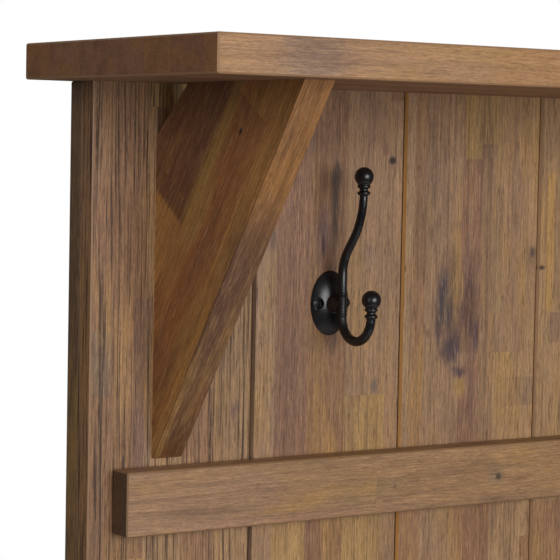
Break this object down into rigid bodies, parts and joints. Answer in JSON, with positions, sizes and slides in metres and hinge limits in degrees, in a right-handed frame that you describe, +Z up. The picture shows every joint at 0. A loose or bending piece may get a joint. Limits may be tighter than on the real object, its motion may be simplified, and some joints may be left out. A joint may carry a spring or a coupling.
{
  "type": "hall tree",
  "caption": "Hall tree: grooved plank back with a braced top shelf, double coat hooks, a planted rail and a storage bench whose seat lifts on hinges.",
  "frame": {"origin": "on the floor, at the middle of the bounding box's width and depth", "axes": "+Z up, +Y towards the wall behind, so the front faces -Y; +X is the right-hand side seen from the front"},
  "size_m": [1.22, 0.45, 1.78],
  "materials": {
    "acacia": "brushed and stained solid acacia, satin",
    "frame_wood": "plain stained solid wood",
    "floor_panel": "plywood, thin clear coat",
    "black_metal": "satin black powder coat",
    "zinc_steel": "zinc plated",
    "bumper_rubber": "matt",
    "glide_plastic": "matt moulded"
  },
  "bodies": {
    "frame": {"top_shelf": "acacia", "back_board_1": "acacia", "back_board_2": "acacia", "back_board_3": "acacia", "back_board_4": "acacia", "back_board_5": "acacia", "back_board_6": "acacia", "back_board_7": "acacia", "rear_stile_left": "frame_wood", "rear_stile_right": "frame_wood", "rear_batten_top": "frame_wood", "rear_batten_rail": "frame_wood", "rear_batten_seat": "frame_wood", "rear_batten_bottom": "frame_wood", "shelf_brace_left": "acacia", "shelf_brace_right": "acacia", "panel_rail": "acacia", "hook_1": "black_metal", "hook_2": "black_metal", "hook_3": "black_metal", "hook_screws": "black_metal", "bench_post_left": "acacia", "bench_post_right": "acacia", "bench_front_rail_top": "acacia", "bench_front_rail_bottom": "acacia", "bench_front_board_1": "acacia", "bench_front_board_2": "acacia", "bench_front_board_3": "acacia", "bench_front_board_4": "acacia", "bench_front_board_5": "acacia", "bench_front_board_6": "acacia", "bench_front_board_7": "acacia", "bench_end_board_left_1": "acacia", "bench_end_board_left_2": "acacia", "bench_end_board_right_1": "acacia", "bench_end_board_right_2": "acacia", "bench_end_rail_left_bottom": "acacia", "bench_end_rail_left_top": "acacia", "bench_end_rail_right_bottom": "acacia", "bench_end_rail_right_top": "acacia", "bench_floor": "floor_panel", "floor_cleat_front": "frame_wood", "floor_cleat_rear": "frame_wood", "seat_ledger": "frame_wood", "seat_strip": "acacia", "hinge_leaves_strip": "black_metal", "hinge_pins": "black_metal", "hinge_screws_strip": "black_metal", "lid_bumpers": "bumper_rubber", "floor_glides": "glide_plastic", "frame_screws": "zinc_steel", "long_screws": "zinc_steel", "shelf_plugs": "acacia", "bench_bolts": "black_metal", "barrel_nuts": "zinc_steel"},
    "seat": {"seat_lid": "acacia", "lid_batten_left": "frame_wood", "lid_batten_right": "frame_wood", "hinge_leaves_lid": "black_metal", "hinge_screws_lid": "black_metal"}
  },
  "joints": [
    {"name": "seat_hinge", "type": "hinge", "parent": "frame", "child": "seat", "pos_m": [0, 0.124, 0.4644], "axis": [-1, 0, 0], "range_deg": [0, 100.5]}
  ]
}
